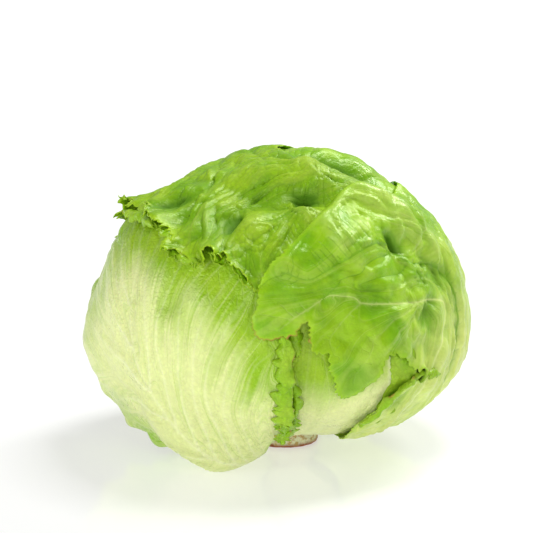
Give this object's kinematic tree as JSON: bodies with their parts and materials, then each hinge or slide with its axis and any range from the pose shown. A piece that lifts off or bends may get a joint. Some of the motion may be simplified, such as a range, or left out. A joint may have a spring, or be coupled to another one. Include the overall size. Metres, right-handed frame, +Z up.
{
  "type": "head of lettuce",
  "caption": "Head of crisp lettuce standing on its cut stem, with wrinkled green leaves folded over a dense heart and a pale wrapper leaf bulging at one side.",
  "frame": {"origin": "centre of the stem's flat cut face, on which the head stands", "axes": "+Z up, from the cut stem to the crown of the head; -Y to the front, where the pale wrapper on the left meets the green leaf on the right; +X to the head's right as seen from the front"},
  "size_m": [0.1833, 0.1749, 0.1435],
  "materials": {
    "stem": "cut, fibrous, damp stem, tan to cream with a red-brown rim",
    "heart": "crisp pale leaf, waxy",
    "leaf_back_right": "fresh green leaf, waxy gloss",
    "leaf_back_left": "pale leaf, waxy",
    "leaf_inner_front": "fresh green leaf, waxy",
    "leaf_front": "pale leaf base, satin and smooth",
    "leaf_left_wrapper": "pale ribbed leaf, waxy, with a thick cream midrib",
    "leaf_crown": "wrinkled green leaf, waxy gloss",
    "leaf_right_wrapper": "blistered green leaf, strong waxy gloss"
  },
  "bodies": {
    "root": {"stem": "stem", "heart": "heart", "leaf_back_right": "leaf_back_right", "leaf_back_left": "leaf_back_left", "leaf_inner_front": "leaf_inner_front", "leaf_front": "leaf_front", "leaf_left_wrapper": "leaf_left_wrapper", "leaf_crown": "leaf_crown", "leaf_right_wrapper": "leaf_right_wrapper"}
  },
  "joints": []
}
